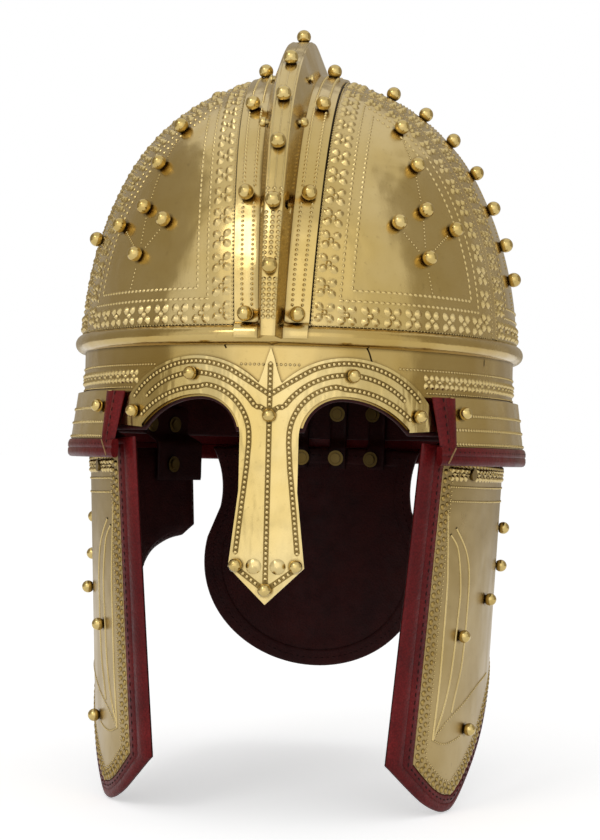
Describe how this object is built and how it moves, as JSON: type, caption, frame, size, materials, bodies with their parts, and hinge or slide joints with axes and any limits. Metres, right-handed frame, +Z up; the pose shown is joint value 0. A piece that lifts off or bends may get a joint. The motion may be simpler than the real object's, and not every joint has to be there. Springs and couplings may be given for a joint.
{
  "type": "ridge helmet",
  "caption": "Late Roman ridge helmet with embossed plates, a studded ridge, nasal guard with brows, and strap-hung cheek and neck guards.",
  "frame": {"origin": "middle of the bowl's opening, level with the rim, where the head carries the helmet", "axes": "+Z up, the face looks along -Y, the wearer's left is +X"},
  "size_m": [0.2212, 0.2864, 0.3622],
  "materials": {
    "brass": "polished, embossed sheet",
    "stud_brass": "ball studs and rivets, a little duller",
    "leather": "dark red, waxed",
    "dark_leather": "dark red strap leather"
  },
  "bodies": {
    "bowl": {"lining_band": "leather", "front_plate_left": "brass", "front_plate_right": "brass", "side_plate_left": "brass", "side_plate_right": "brass", "rear_plate_left": "brass", "rear_plate_right": "brass", "ridge": "brass", "ridge_pins": "stud_brass", "ridge_studs": "stud_brass", "flange_studs": "stud_brass", "front_studs_left": "stud_brass", "front_studs_right": "stud_brass", "side_studs_left": "stud_brass", "side_studs_right": "stud_brass", "rear_studs_left": "stud_brass", "rear_studs_right": "stud_brass", "rim_roll": "brass", "brow_band": "brass", "nasal_guard": "brass", "nasal_studs": "stud_brass", "skirt_band": "brass", "skirt_leather": "leather", "skirt_studs": "stud_brass", "strap_rivets": "stud_brass"},
    "left_cheek": {"cheek_leather_left": "leather", "cheek_plate_left": "brass", "cheek_studs_left": "stud_brass", "cheek_rivets_left": "stud_brass", "cheek_straps_left": "dark_leather"},
    "right_cheek": {"cheek_leather_right": "leather", "cheek_plate_right": "brass", "cheek_studs_right": "stud_brass", "cheek_rivets_right": "stud_brass", "cheek_straps_right": "dark_leather"},
    "neck_guard": {"neck_leather": "leather", "neck_plate": "brass", "neck_rivets": "stud_brass", "neck_straps": "dark_leather"}
  },
  "joints": [
    {"name": "left_cheek_strap_hinge", "type": "hinge", "parent": "bowl", "child": "left_cheek", "pos_m": [0.08, 0, -0.047], "axis": [0, -1, 0], "range_deg": [-5, 25], "deforming": ["cheek_straps_left"]},
    {"name": "right_cheek_strap_hinge", "type": "hinge", "parent": "bowl", "child": "right_cheek", "pos_m": [-0.08, 0, -0.047], "axis": [0, 1, 0], "range_deg": [-5, 25], "deforming": ["cheek_straps_right"]},
    {"name": "neck_guard_strap_hinge", "type": "hinge", "parent": "bowl", "child": "neck_guard", "pos_m": [0, 0.118, -0.044], "axis": [1, 0, 0], "range_deg": [-5, 20], "deforming": ["neck_straps"]}
  ]
}
